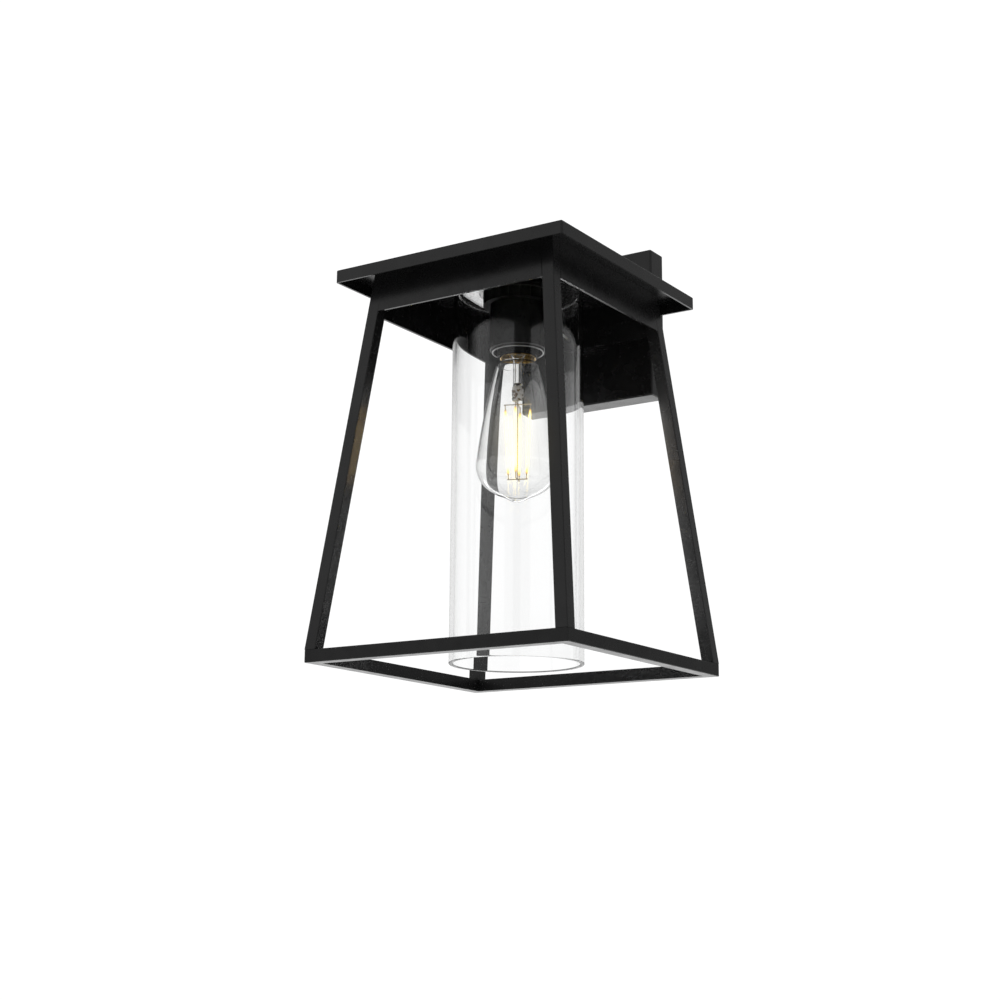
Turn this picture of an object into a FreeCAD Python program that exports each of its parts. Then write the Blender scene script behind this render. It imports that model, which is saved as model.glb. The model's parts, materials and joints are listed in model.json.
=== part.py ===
"""Outdoor wall sconce: a flat-roofed square lantern with a clear glass cylinder and a filament bulb.

The origin is the middle of the wall canopy's back face. X runs along the wall, +Y into the wall, +Z up.
"""
import FreeCAD, Part
import math
import os

# Driving dimensions in millimetres

# Wall canopy, with the seal and the crossbar behind it
canopy_width = 123.8
canopy_height = 123.8
canopy_depth = 21.0
canopy_wall = 2.0
canopy_edge_radius = 1.5
wall_seal_thickness = 1.5
wall_seal_width = 5.0
crossbar_thickness = 2.0
crossbar_width = 25.0
crossbar_ear_depth = 12.0
crossbar_centre_hole_radius = 5.2
box_screw_spacing = 79.4
box_slot_length = 24.0
box_slot_width = 4.8
side_screw_from_wall = 9.0
ground_screw_x = 22.0
ground_screw_edge = 1.0

# Arm between the canopy and the cage
arm_width = 50.0
arm_height = 17.0
arm_below_roof_top = 12.0
arm_screw_spacing = 34.0
wireway_radius = 7.0
grommet_bore_radius = 4.8
grommet_flange_radius = 9.0
grommet_flange_thickness = 1.2
grommet_length = 4.0

# Roof tray
roof_width = 203.2
roof_height = 10.0
roof_sheet = 1.5
roof_corner_radius = 1.5
roof_edge_radius = 1.0
roof_gap = 2.5
roof_rise = 12.0

# Cage: legs, collar panels and bottom ring
cage_height = 304.0
roof_overhang = 21.1
cage_splay = 32.3
ring_bar = 9.6
ring_corner_radius = 1.2
bar_edge_radius = 0.6
leg_size = 10.0
collar_drop = 32.5
collar_sheet = 2.0

# Shade seat and wire channel under the roof
seat_radius = 31.0
seat_depth = 4.0
seat_sheet = 1.0
seat_opening_radius = 17.5
channel_width = 16.0
channel_sheet = 1.0
channel_rear_gap = 12.0

# Lampholder
socket_radius = 22.0
socket_length = 51.6
socket_top_wall = 8.0
socket_bore_radius = 14.0
socket_mouth_radius = 19.2
socket_mouth_depth = 8.0
socket_lip_wall = 1.2
socket_lip_height = 1.8
socket_rim_edge = 0.5
liner_wall = 2.0
liner_above_cap_rim = 1.2
shell_inner_radius = 13.4
shell_wall = 0.5
shell_length = 20.0
insulator_thickness = 4.0
contact_strip = 0.6
contact_strip_width = 6.0
contact_reach = 9.0
contact_drop = 1.5
shell_lip = 3.0
shell_above_rim = 2.0
nipple_radius = 5.0
nipple_bore_radius = 3.5
nipple_below_socket_wall = 6.0
weld_nut_across_flats = 16.0
lock_nut_across_flats = 14.0
weld_nut_height = 3.5
lock_nut_height = 4.0
terminal_spacing = 8.0
terminal_from_axis = 13.0
terminal_head_radius = 3.0
terminal_head_height = 2.7
terminal_recess = 1.7
terminal_shank_radius = 1.5
terminal_shank_length = 6.0

# Glass shade and its ring
shade_radius = 51.0
shade_wall = 3.0
shade_length = 293.5
shade_shoulder_radius = 5.0
shade_edge = 0.4
shade_gasket_thickness = 1.0
slip_washer_thickness = 1.0
slip_washer_width = 5.0
ring_nut_height = 8.0
ring_nut_wall = 5.2
ring_nut_grips = 20
ring_nut_grip_radius = 1.2

# Bulb: a 26 mm screw cap and a 64 mm straight-tapered glass
bulb_radius = 32.0
bulb_length = 139.3
bulb_glass = 0.9
bulb_neck_radius = 12.5
bulb_neck_flare_radius = 16.8
bulb_neck_flare_height = 5.0
bulb_flank_bulge = 1.5
bulb_neck_in_cap = 8.0
bulb_neck_bend_out = 0.3
bulb_neck_bend_down = 0.6
bulb_join_angle = 8.0
bulb_end_depth = 25.4
bulb_end_corner = 22.0
bulb_tip_base_radius = 11.0
bulb_tip_radius = 5.0
bulb_tip_height = 2.8
bulb_tip_dome = 1.2
cap_length = 25.3
cap_crest_radius = 13.0
cap_root_radius = 12.3
cap_wall = 0.5
cap_thread_pitch = 3.63
cap_thread_turns = 5
cap_thread_run_out = 1.1
cap_thread_from_contact = 6.0
cap_skirt_radius = 13.1
cap_lip_radius = 14.0
cap_lip_height = 1.6
cap_contact_radius = 4.8
cap_contact_height = 1.6
cap_insulator_height = 3.4
cap_insulator_radius = 10.0
stem_radius = 3.8
stem_length = 22.7
stem_wall = 1.0
pinch_width = 11.0
pinch_height = 11.0
pinch_thickness = 4.0
filament_count = 4
filament_radius = 0.9
filament_length = 58.5
filament_circle_radius = 10.0
filament_foot_radius = 7.0
filament_start_angle = 22.0
filament_wire_radius = 0.4
filament_below_pinch = 3.5
driver_thickness = 1.6
driver_height = 11.0

# Fasteners, leads and fits
screw_shank_radius = 2.5
screw_shank_length = 11.0
screw_head_radius = 4.4
screw_head_height = 2.8
screw_slot_width = 1.2
screw_slot_share = 0.45
side_screw_shank_radius = 2.0
side_screw_shank_length = 7.0
side_screw_head_radius = 3.6
side_screw_head_height = 2.2
ground_shank_length = 1.8
lead_radius = 1.2
lead_bend_radius = 4.0
lead_spacing = 4.8
connector_spacing = 32.0
connector_length = 18.0
connector_mouth_radius = 4.6
connector_tip_radius = 2.6
connector_overlap = 3.0
connector_drop = 21.0
static_fit = 0.1
running_clearance = 0.3
edge_tolerance = 0.01
parallel_angle = 14.0

# Places worked out from the sizes above
canopy_front = -canopy_depth
lantern_y = canopy_front - roof_gap - roof_width / 2
roof_top = roof_rise
ceiling = roof_top - roof_sheet
collar_bottom = roof_top - collar_drop
ring_bottom = roof_top - cage_height
ring_top = ring_bottom + ring_bar
arm_top = roof_top - arm_below_roof_top
arm_middle = arm_top - arm_height / 2
seat_bottom = ceiling - seat_depth
shade_top = seat_bottom - shade_gasket_thickness
shade_bottom = shade_top - shade_length
shade_hole_radius = socket_radius + 2 * running_clearance
washer_top = shade_top - shade_wall
ring_nut_top = washer_top - slip_washer_thickness
socket_bottom = seat_bottom - socket_length
shell_bottom = socket_bottom + shell_above_rim
shell_top = shell_bottom + shell_length
insulator_bottom = shell_top + shell_wall
contact_bottom = insulator_bottom - contact_drop
bulb_top = contact_bottom - static_fit
cap_bottom = bulb_top - cap_length
bulb_tip = bulb_top - bulb_length
cage_top_width = roof_width - 2 * roof_overhang
ring_width = cage_top_width + 2 * cage_splay
cage_slope = cage_splay / (ceiling - ring_top)
ground_screw_z = crossbar_width / 2 - side_screw_head_radius - ground_screw_edge
terminal_seat = seat_bottom - terminal_recess

UP = FreeCAD.Vector(0, 0, 1)
INTO_WALL = FreeCAD.Vector(0, 1, 0)
OFF_WALL = FreeCAD.Vector(0, -1, 0)
parts = {}


def vec(x, y, z):
    return FreeCAD.Vector(x, y, z)


def cage_half(z):
    """Half the cage's outer width at height z: the cage widens evenly towards the ring."""
    return cage_top_width / 2 + cage_slope * (ceiling - z)


def block(x0, x1, y0, y1, z0, z1):
    return Part.makeBox(x1 - x0, y1 - y0, z1 - z0, vec(x0, y0, z0))


def upright(radius, z0, z1, x=0.0, y=lantern_y):
    return Part.makeCylinder(radius, z1 - z0, vec(x, y, z0))


def collar_ring(outer, inner, z0, z1):
    """A flat ring about the lantern's axis."""
    return upright(outer, z0, z1).cut(upright(inner, z0, z1))


def turned(start, *moves):
    """A solid turned about the lantern's axis. A move is (end,) for a line or (middle, end) for an arc."""
    def point(radius_and_height):
        return vec(radius_and_height[0], lantern_y, radius_and_height[1])

    edges = []
    here = start
    for move in moves + ((start,),):
        end = move[-1]
        if len(move) == 1:
            edges.append(Part.LineSegment(point(here), point(end)).toShape())
        else:
            edges.append(Part.Arc(point(here), point(move[0]), point(end)).toShape())
        here = end
    return Part.Face(Part.Wire(edges)).revolve(point((0, 0)), UP, 360)


def dome_middle(radius, height):
    """The middle of a spherical cap's profile: its radius, and its depth below the top."""
    sphere = (radius ** 2 + height ** 2) / (2 * height)
    half_angle = math.asin(min(1.0, radius / sphere)) / 2
    return sphere * math.sin(half_angle), sphere * (1 - math.cos(half_angle))


def hexagon(across_flats, z0, z1):
    corner = across_flats / math.sqrt(3)
    points = []
    for i in range(7):
        angle = math.radians(60 * i)
        points.append(vec(corner * math.cos(angle), lantern_y + corner * math.sin(angle), z0))
    return Part.Face(Part.makePolygon(points)).extrude(vec(0, 0, z1 - z0))


def screw(shank_radius, shank_length, head_radius, head_height):
    """A slotted pan-head screw: the head stands up from z = 0 and the shank runs down."""
    head = Part.makeCylinder(head_radius, head_height)
    head = head.makeFillet(head_height / 3, [head.Edges[0]])
    shank = Part.makeCylinder(shank_radius, shank_length, vec(0, 0, -shank_length))
    slot_floor = head_height * (1 - screw_slot_share)
    slot = block(-head_radius, head_radius, -screw_slot_width / 2, screw_slot_width / 2,
                 slot_floor, head_height)
    return head.fuse(shank).removeSplitter().cut(slot)


def placed(shape, position, direction):
    """A copy of a shape with its +Z axis turned to a direction and its origin moved to a position."""
    copy = shape.copy()
    copy.Placement = FreeCAD.Placement(position, FreeCAD.Rotation(UP, direction))
    return copy


def rounded_path(points, radius):
    """Straight runs through the points, joined by tangent arcs."""
    edges = []
    here = points[0]
    for before, corner, after in zip(points, points[1:], points[2:]):
        back = (before - corner).normalize()
        ahead = (after - corner).normalize()
        half_angle = back.getAngle(ahead) / 2
        setback = radius / math.tan(half_angle)
        inside = (back + ahead).normalize() * (radius / math.sin(half_angle) - radius)
        start = corner + back * setback
        end = corner + ahead * setback
        edges.append(Part.LineSegment(here, start).toShape())
        edges.append(Part.Arc(start, corner + inside, end).toShape())
        here = end
    edges.append(Part.LineSegment(here, points[-1]).toShape())
    return Part.Wire(edges)


def lead(points):
    path = rounded_path(points, lead_bend_radius)
    section = Part.Wire(Part.Circle(points[0], points[1] - points[0], lead_radius).toShape())
    return path.makePipeShell([section], True, False)


def long_edges(shape, direction):
    """The straight edges that run within a few degrees of a direction."""
    found = []
    least_cosine = math.cos(math.radians(parallel_angle))
    for edge in shape.Edges:
        if edge.Curve.TypeId != "Part::GeomLine":
            continue
        if abs(edge.tangentAt(edge.FirstParameter).dot(direction)) > least_cosine:
            found.append(edge)
    return found


# Wall canopy, wall seal and crossbar

def make_canopy():
    half_width = canopy_width / 2
    half_height = canopy_height / 2
    back = -wall_seal_thickness
    shell = block(-half_width, half_width, canopy_front, back, -half_height, half_height)
    front_edges = [e for e in shell.Edges if e.BoundBox.YMax < canopy_front + edge_tolerance]
    corner_edges = long_edges(shell, INTO_WALL)
    shell = shell.makeFillet(canopy_edge_radius, front_edges + corner_edges)
    hollow = block(-half_width + canopy_wall, half_width - canopy_wall,
                   canopy_front + canopy_wall, back,
                   -half_height + canopy_wall, half_height - canopy_wall)
    wire_hole = Part.makeCylinder(wireway_radius, canopy_wall,
                                  vec(0, canopy_front, arm_middle), INTO_WALL)
    side_hole = Part.makeCylinder(side_screw_shank_radius + static_fit, canopy_width,
                                  vec(-half_width, -side_screw_from_wall, 0), vec(1, 0, 0))
    shell = shell.cut(hollow).cut(wire_hole).cut(side_hole)
    for x in (-arm_screw_spacing / 2, arm_screw_spacing / 2):
        shell = shell.cut(Part.makeCylinder(screw_shank_radius + static_fit, canopy_wall,
                                            vec(x, canopy_front, arm_middle), INTO_WALL))
    return shell


def make_wall_seal():
    half_width = canopy_width / 2 - canopy_edge_radius
    half_height = canopy_height / 2 - canopy_edge_radius
    sheet = block(-half_width, half_width, -wall_seal_thickness, 0, -half_height, half_height)
    window = block(-half_width + wall_seal_width, half_width - wall_seal_width,
                   -wall_seal_thickness, 0,
                   -half_height + wall_seal_width, half_height - wall_seal_width)
    return sheet.cut(window)


crossbar_half = canopy_width / 2 - max(canopy_wall, canopy_edge_radius + wall_seal_width) - running_clearance
ear_outer = canopy_width / 2 - canopy_wall - static_fit
ear_inner = ear_outer - crossbar_thickness


def make_crossbar():
    """A strap across the outlet box, stepped forward at its ends into ears for the side screws."""
    half = crossbar_width / 2
    strap = block(-crossbar_half, crossbar_half, -crossbar_thickness, 0, -half, half)
    step_back = -crossbar_thickness
    step_front = step_back - crossbar_thickness
    ear_front = step_front - crossbar_ear_depth
    for side in (-1, 1):
        step_ends = sorted((side * (crossbar_half - crossbar_thickness), side * ear_outer))
        step = block(step_ends[0], step_ends[1], step_front, step_back, -half, half)
        ear_ends = sorted((side * ear_inner, side * ear_outer))
        ear = block(ear_ends[0], ear_ends[1], ear_front, step_back, -half, half)
        strap = strap.fuse(step).fuse(ear)
    strap = strap.removeSplitter()
    cuts = [Part.makeCylinder(crossbar_centre_hole_radius, crossbar_thickness,
                              vec(0, -crossbar_thickness, 0), INTO_WALL)]
    slot_radius = box_slot_width / 2
    run = box_slot_length / 2 - slot_radius
    for side in (-1, 1):
        middle = side * box_screw_spacing / 2
        cuts.append(block(middle - run, middle + run, -crossbar_thickness, 0, -slot_radius, slot_radius))
        for end in (middle - run, middle + run):
            cuts.append(Part.makeCylinder(slot_radius, crossbar_thickness,
                                          vec(end, -crossbar_thickness, 0), INTO_WALL))
    cuts.append(Part.makeCylinder(side_screw_shank_radius + static_fit, canopy_width,
                                  vec(-canopy_width / 2, -side_screw_from_wall, 0), vec(1, 0, 0)))
    cuts.append(Part.makeCylinder(side_screw_shank_radius + static_fit, crossbar_thickness,
                                  vec(ground_screw_x, -crossbar_thickness, ground_screw_z), INTO_WALL))
    for cut in cuts:
        strap = strap.cut(cut)
    return strap


def make_side_screws():
    body = screw(side_screw_shank_radius, side_screw_shank_length,
                 side_screw_head_radius, side_screw_head_height)
    screws = []
    for side in (-1, 1):
        screws.append(placed(body, vec(side * canopy_width / 2, -side_screw_from_wall, 0), vec(side, 0, 0)))
    return Part.makeCompound(screws)


def make_ground_screw():
    body = screw(side_screw_shank_radius, ground_shank_length,
                 side_screw_head_radius, side_screw_head_height)
    return placed(body, vec(ground_screw_x, -crossbar_thickness, ground_screw_z), OFF_WALL)


parts["wall_canopy"] = make_canopy()
parts["wall_seal"] = make_wall_seal()
parts["crossbar"] = make_crossbar()
parts["canopy_side_screws"] = make_side_screws()
parts["ground_screw"] = make_ground_screw()


# Arm, its screws and the grommet where the leads pass through the canopy

def collar_rear(z):
    """Where the rear collar panel's outer face stands at height z."""
    return lantern_y + cage_half(z)


arm_reach = canopy_front - collar_rear(arm_top)


def make_arm():
    """A block between the canopy's front and the rear collar panel, which it is welded to."""
    outline = [
        vec(-arm_width / 2, canopy_front, arm_top),
        vec(-arm_width / 2, canopy_front, arm_top - arm_height),
        vec(-arm_width / 2, collar_rear(arm_top - arm_height), arm_top - arm_height),
        vec(-arm_width / 2, collar_rear(arm_top), arm_top),
        vec(-arm_width / 2, canopy_front, arm_top),
    ]
    body = Part.Face(Part.makePolygon(outline)).extrude(vec(arm_width, 0, 0))
    body = body.cut(Part.makeCylinder(wireway_radius, arm_reach + collar_sheet,
                                      vec(0, canopy_front, arm_middle), OFF_WALL))
    hole_depth = screw_shank_length - canopy_wall + static_fit
    for x in (-arm_screw_spacing / 2, arm_screw_spacing / 2):
        body = body.cut(Part.makeCylinder(screw_shank_radius + static_fit, hole_depth,
                                          vec(x, canopy_front, arm_middle), OFF_WALL))
    return body


def make_arm_screws():
    body = screw(screw_shank_radius, screw_shank_length, screw_head_radius, screw_head_height)
    screws = []
    for x in (-arm_screw_spacing / 2, arm_screw_spacing / 2):
        screws.append(placed(body, vec(x, canopy_front + canopy_wall, arm_middle), INTO_WALL))
    return Part.makeCompound(screws)


def make_grommet():
    seat = canopy_front + canopy_wall
    sleeve_radius = wireway_radius - static_fit
    flange = Part.makeCylinder(grommet_flange_radius, grommet_flange_thickness,
                               vec(0, seat, arm_middle), INTO_WALL)
    sleeve = Part.makeCylinder(sleeve_radius, grommet_length, vec(0, seat, arm_middle), OFF_WALL)
    bore = Part.makeCylinder(grommet_bore_radius, grommet_length + grommet_flange_thickness,
                             vec(0, seat - grommet_length, arm_middle), INTO_WALL)
    return flange.fuse(sleeve).removeSplitter().cut(bore)


parts["arm"] = make_arm()
parts["arm_screws"] = make_arm_screws()
parts["lead_grommet"] = make_grommet()


# Roof tray

def make_roof():
    half = roof_width / 2
    tray = block(-half, half, lantern_y - half, lantern_y + half, roof_top - roof_height, roof_top)
    tray = tray.makeFillet(roof_corner_radius, long_edges(tray, UP))
    top_edges = [e for e in tray.Edges if e.BoundBox.ZMin > roof_top - edge_tolerance]
    tray = tray.makeFillet(roof_edge_radius, top_edges)
    inner = half - roof_sheet
    recess = block(-inner, inner, lantern_y - inner, lantern_y + inner, roof_top - roof_height, ceiling)
    recess = recess.makeFillet(max(roof_corner_radius - roof_sheet, bar_edge_radius), long_edges(recess, UP))
    return tray.cut(recess)


parts["roof"] = make_roof()


# Cage: one leg, one collar panel and one ring bar, each repeated round the four sides

def turned_about_axis(shape, quarter_turns):
    copy = shape.copy()
    copy.rotate(vec(0, lantern_y, 0), UP, 90 * quarter_turns)
    return copy


def level_outline(x0, x1, y0, y1, z):
    """A level rectangle, placed from the lantern's axis."""
    corners = [(x0, y0), (x1, y0), (x1, y1), (x0, y1), (x0, y0)]
    return Part.makePolygon([vec(x, lantern_y + y, z) for x, y in corners])


def make_leg():
    """The leg at the cage's front right corner, a square bar leaning out along both sides."""
    rise = ceiling - ring_top
    outer = cage_half(ring_top)
    lean = vec(-cage_slope * rise, cage_slope * rise, rise)
    foot = level_outline(outer - leg_size, outer, -outer, leg_size - outer, ring_top)
    bar = Part.Face(foot).extrude(lean)
    return bar.makeFillet(bar_edge_radius, long_edges(bar, lean.normalize()))


def make_collar_panel():
    """The front collar panel, flush with the legs' outer faces and set between them."""
    low = cage_half(collar_bottom)
    high = cage_half(ceiling)
    outline = [
        vec(leg_size - low, lantern_y - low, collar_bottom),
        vec(low - leg_size, lantern_y - low, collar_bottom),
        vec(high - leg_size, lantern_y - high, ceiling),
        vec(leg_size - high, lantern_y - high, ceiling),
        vec(leg_size - low, lantern_y - low, collar_bottom),
    ]
    return Part.Face(Part.makePolygon(outline)).extrude(vec(0, collar_sheet, 0))


def make_ring_bar():
    """The ring's front bar, mitred at both ends, with half of each rounded corner."""
    outer = ring_width / 2
    inner = outer - ring_bar
    turn_centre = outer - ring_corner_radius
    corner = turn_centre + ring_corner_radius * math.sqrt(0.5)
    half_turn = math.radians(45) / 2
    mid_x = turn_centre + ring_corner_radius * math.sin(half_turn)
    mid_y = turn_centre + ring_corner_radius * math.cos(half_turn)

    def point(x, y):
        return vec(x, lantern_y - y, ring_bottom)

    edges = [
        Part.LineSegment(point(-turn_centre, outer), point(turn_centre, outer)).toShape(),
        Part.Arc(point(turn_centre, outer), point(mid_x, mid_y), point(corner, corner)).toShape(),
        Part.LineSegment(point(corner, corner), point(inner, inner)).toShape(),
        Part.LineSegment(point(inner, inner), point(-inner, inner)).toShape(),
        Part.LineSegment(point(-inner, inner), point(-corner, corner)).toShape(),
        Part.Arc(point(-corner, corner), point(-mid_x, mid_y), point(-turn_centre, outer)).toShape(),
    ]
    bar = Part.Face(Part.Wire(edges)).extrude(vec(0, 0, ring_bar))
    front_edges = []
    for edge in bar.Edges:
        box = edge.BoundBox
        level = box.ZLength < edge_tolerance
        on_outside = box.YMax < lantern_y - corner + edge_tolerance
        if level and on_outside:
            front_edges.append(edge)
    return bar.makeFillet(bar_edge_radius, front_edges)


leg = make_leg()
panel = make_collar_panel()
bar = make_ring_bar()
rear_panel_wire_hole = Part.makeCylinder(wireway_radius, canopy_depth,
                                         vec(0, collar_rear(arm_middle) + collar_sheet, arm_middle), OFF_WALL)
for turns, corner_name in enumerate(("front_right", "rear_right", "rear_left", "front_left")):
    parts["leg_" + corner_name] = turned_about_axis(leg, turns)
for turns, side_name in enumerate(("front", "right", "rear", "left")):
    parts["collar_" + side_name] = turned_about_axis(panel, turns)
    parts["ring_bar_" + side_name] = turned_about_axis(bar, turns)
parts["collar_rear"] = parts["collar_rear"].cut(rear_panel_wire_hole)


# Shade seat, wire channel, nipple and nuts under the roof

def make_shade_seat():
    """A shallow pan that closes against the roof: the socket and the shade hang below its floor."""
    pan = upright(seat_radius, seat_bottom, ceiling)
    pan = pan.cut(upright(seat_radius - seat_sheet, seat_bottom + seat_sheet, ceiling))
    pan = pan.cut(upright(seat_opening_radius, seat_bottom, seat_bottom + seat_sheet))
    wire_slot = block(-channel_width / 2 + channel_sheet, channel_width / 2 - channel_sheet,
                      lantern_y, lantern_y + seat_radius, seat_bottom + seat_sheet, ceiling)
    return pan.cut(wire_slot)


channel_rear = collar_rear(ceiling) - collar_sheet - channel_rear_gap


def make_wire_channel():
    half = channel_width / 2
    channel = block(-half, half, lantern_y, channel_rear, seat_bottom, ceiling)
    hollow = block(-half + channel_sheet, half - channel_sheet, lantern_y, channel_rear,
                   seat_bottom + channel_sheet, ceiling)
    return channel.cut(hollow).cut(upright(seat_radius, seat_bottom, ceiling))


parts["shade_seat"] = make_shade_seat()
parts["wire_channel"] = make_wire_channel()
socket_wall_bottom = seat_bottom - socket_top_wall
nipple_bottom = socket_wall_bottom - nipple_below_socket_wall
parts["lamp_nipple"] = collar_ring(nipple_radius, nipple_bore_radius, nipple_bottom, ceiling)
nut_bore = upright(nipple_radius + static_fit, nipple_bottom, ceiling)
parts["roof_weld_nut"] = hexagon(weld_nut_across_flats, ceiling - weld_nut_height, ceiling).cut(nut_bore)
parts["nipple_lock_nut"] = hexagon(lock_nut_across_flats, socket_wall_bottom - lock_nut_height,
                                   socket_wall_bottom).cut(nut_bore)


# Lampholder

def terminal_places():
    return [(side * terminal_spacing / 2, lantern_y + terminal_from_axis) for side in (-1, 1)]


def make_socket_body():
    """The black lampholder, a thick-walled cup whose rim steps down to a thin rounded lip."""
    rim = socket_bottom + socket_lip_height
    lip = socket_mouth_radius + socket_lip_wall
    lip_round = socket_lip_wall / 2
    body = turned(
        (0, seat_bottom),
        ((socket_radius, seat_bottom),),
        ((socket_radius, rim + socket_rim_edge),),
        ((socket_radius - socket_rim_edge, rim),),
        ((lip, rim),),
        ((lip, socket_bottom + lip_round),),
        ((lip - lip_round, socket_bottom), (socket_mouth_radius, socket_bottom + lip_round)),
        ((socket_mouth_radius, socket_bottom + socket_mouth_depth),),
        ((socket_bore_radius, socket_bottom + socket_mouth_depth),),
        ((socket_bore_radius, socket_wall_bottom),),
        ((0, socket_wall_bottom),),
    )
    body = body.cut(upright(nipple_radius + static_fit, socket_wall_bottom, seat_bottom))
    for x, y in terminal_places():
        body = body.cut(upright(terminal_head_radius + static_fit, terminal_seat, seat_bottom, x, y))
        body = body.cut(upright(terminal_shank_radius + static_fit,
                                terminal_seat - terminal_shank_length - static_fit, terminal_seat, x, y))
    return body


def make_terminal_screws():
    body = screw(terminal_shank_radius, terminal_shank_length, terminal_head_radius, terminal_head_height)
    return Part.makeCompound([placed(body, vec(x, y, terminal_seat), UP) for x, y in terminal_places()])


def make_screw_shell():
    """The brass sleeve that the bulb's cap turns in, with an inward lip under the insulator."""
    outer = shell_inner_radius + shell_wall
    lip = shell_inner_radius - shell_lip
    return turned(
        (shell_inner_radius, shell_bottom),
        ((outer, shell_bottom),),
        ((outer, insulator_bottom),),
        ((lip, insulator_bottom),),
        ((lip, shell_top),),
        ((shell_inner_radius, shell_top),),
    )


def make_socket_liner():
    """The black sleeve round the brass one, down to just above the rim of the bulb's cap."""
    inner = shell_inner_radius + shell_wall + static_fit
    return collar_ring(inner + liner_wall, inner, cap_bottom + liner_above_cap_rim,
                       socket_bottom + socket_mouth_depth)


def make_contact():
    """The springy centre contact: a strip fixed under the insulator and bent down to the bulb."""
    top = insulator_bottom
    low = contact_bottom
    flat = cap_contact_radius / 2
    outline = [
        (contact_reach, top),
        (contact_reach, top - contact_strip),
        (cap_contact_radius, top - contact_strip),
        (flat, low),
        (-flat, low),
        (-flat, low + contact_strip),
        (flat - contact_strip, low + contact_strip),
        (cap_contact_radius - contact_strip, top),
        (contact_reach, top),
    ]
    points = [vec(x, lantern_y - contact_strip_width / 2, z) for x, z in outline]
    return Part.Face(Part.makePolygon(points)).extrude(vec(0, contact_strip_width, 0))


parts["socket_body"] = make_socket_body()
parts["terminal_screws"] = make_terminal_screws()
parts["socket_insulator"] = upright(socket_bore_radius - static_fit, insulator_bottom,
                                    insulator_bottom + insulator_thickness)
parts["socket_screw_shell"] = make_screw_shell()
parts["socket_liner"] = make_socket_liner()
parts["socket_contact"] = make_contact()


# Glass shade, its gasket, slip washer and threaded ring

def make_shade():
    """A glass cylinder, cut flat below, with a flat top that has a hole for the socket."""
    outer = shade_radius
    inner = shade_radius - shade_wall
    bend = shade_shoulder_radius
    inner_bend = bend - shade_wall
    inner_top = shade_top - shade_wall
    diagonal = math.sqrt(0.5)
    return turned(
        (shade_hole_radius, inner_top),
        ((shade_hole_radius, shade_top),),
        ((outer - bend, shade_top),),
        ((outer - bend + bend * diagonal, shade_top - bend + bend * diagonal), (outer, shade_top - bend)),
        ((outer, shade_bottom + shade_edge),),
        ((outer - shade_edge, shade_bottom),),
        ((inner + shade_edge, shade_bottom),),
        ((inner, shade_bottom + shade_edge),),
        ((inner, inner_top - inner_bend),),
        ((outer - bend + inner_bend * diagonal, shade_top - bend + inner_bend * diagonal),
         (inner - inner_bend, inner_top)),
    )


def make_shade_ring():
    """The ring that holds the shade up on the socket, with finger grooves round its rim."""
    inner = socket_radius + running_clearance
    outer = inner + ring_nut_wall
    low = ring_nut_top - ring_nut_height
    ring = collar_ring(outer, inner, low, ring_nut_top)
    for i in range(ring_nut_grips):
        angle = 2 * math.pi * i / ring_nut_grips
        x = (outer + ring_nut_grip_radius / 2) * math.cos(angle)
        y = lantern_y + (outer + ring_nut_grip_radius / 2) * math.sin(angle)
        ring = ring.cut(upright(ring_nut_grip_radius, low, ring_nut_top, x, y))
    return ring


parts["shade_gasket"] = collar_ring(seat_radius, shade_hole_radius, shade_top, seat_bottom)
parts["glass_shade"] = make_shade()
parts["shade_slip_washer"] = collar_ring(shade_hole_radius + slip_washer_width, shade_hole_radius,
                                         ring_nut_top, washer_top)
parts["shade_ring"] = make_shade_ring()


# Bulb

def make_bulb_cap():
    """The screw cap: a thin brass cup with a rounded thread above a plain skirt and a rolled lip."""
    top = bulb_top - cap_contact_height - cap_insulator_height
    first = bulb_top - cap_thread_from_contact
    inner = cap_root_radius - cap_wall
    lip = cap_insulator_radius
    moves = [((cap_root_radius - cap_wall, top),), ((cap_root_radius, top - cap_wall),)]
    moves.append(((cap_root_radius, first),))
    for turn in range(cap_thread_turns):
        start = first - cap_thread_pitch * turn
        crest = start - cap_thread_pitch / 2
        moves.append(((cap_crest_radius, crest), (cap_root_radius, start - cap_thread_pitch)))
    last = first - cap_thread_pitch * cap_thread_turns
    moves.append(((cap_skirt_radius, last - cap_thread_run_out),))
    moves.append(((cap_skirt_radius, cap_bottom + cap_lip_height),))
    moves.append(((cap_lip_radius, cap_bottom + cap_wall),))
    moves.append(((cap_lip_radius, cap_bottom),))
    moves.append(((cap_skirt_radius - cap_wall, cap_bottom),))
    moves.append(((cap_skirt_radius - cap_wall, cap_bottom + bulb_neck_in_cap),))
    moves.append(((inner, cap_bottom + bulb_neck_in_cap + cap_wall),))
    moves.append(((inner, top - cap_wall),))
    moves.append(((lip, top - cap_wall),))
    return turned((lip, top), *moves)


def make_bulb_insulator():
    """The black glass cone between the cap and its contact."""
    top = bulb_top - cap_contact_height
    low = top - cap_insulator_height
    return turned(
        (0, top),
        ((cap_contact_radius, top),),
        ((cap_insulator_radius - static_fit, low + cap_wall),),
        ((cap_insulator_radius - static_fit, low - cap_wall),),
        ((0, low - cap_wall),),
    )


def make_bulb_contact():
    low = bulb_top - cap_contact_height
    middle_radius, middle_depth = dome_middle(cap_contact_radius, cap_contact_height)
    return turned(
        (0, low),
        ((cap_contact_radius, low),),
        ((middle_radius, bulb_top - middle_depth), (0, bulb_top)),
    )


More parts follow.
